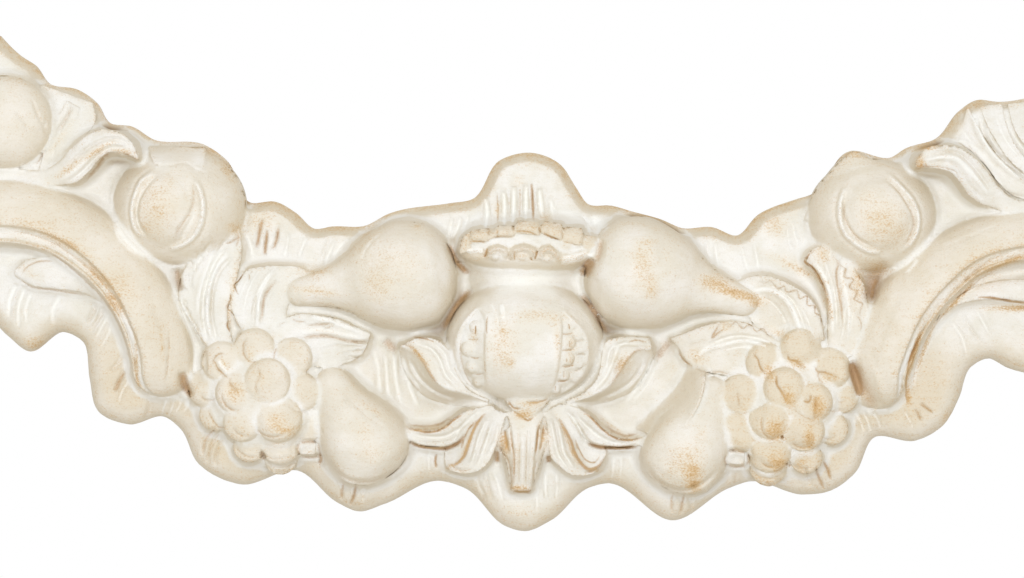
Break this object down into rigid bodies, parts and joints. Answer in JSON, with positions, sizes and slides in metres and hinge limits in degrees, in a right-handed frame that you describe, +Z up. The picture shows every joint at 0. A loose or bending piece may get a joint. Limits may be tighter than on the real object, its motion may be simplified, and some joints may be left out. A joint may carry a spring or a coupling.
{
  "type": "carved wooden overdoor frieze",
  "caption": "Carved and cream-painted wooden overdoor frieze: a scalloped board in high relief with pomegranate, pears, berries, leaves and scrolls, cut square at both ends, flat back.",
  "frame": {"origin": "on the flat back, behind the middle of the pomegranate", "axes": "+X to the viewer's right along the length, +Z up the wall, +Y out of the back into the wall; the carving faces -Y"},
  "size_m": [0.8, 0.0939, 0.3682],
  "materials": {
    "painted_wood": "worn chalky cream paint over golden-brown wood, matt"
  },
  "bodies": {
    "root": {"frieze": "painted_wood"}
  },
  "joints": []
}
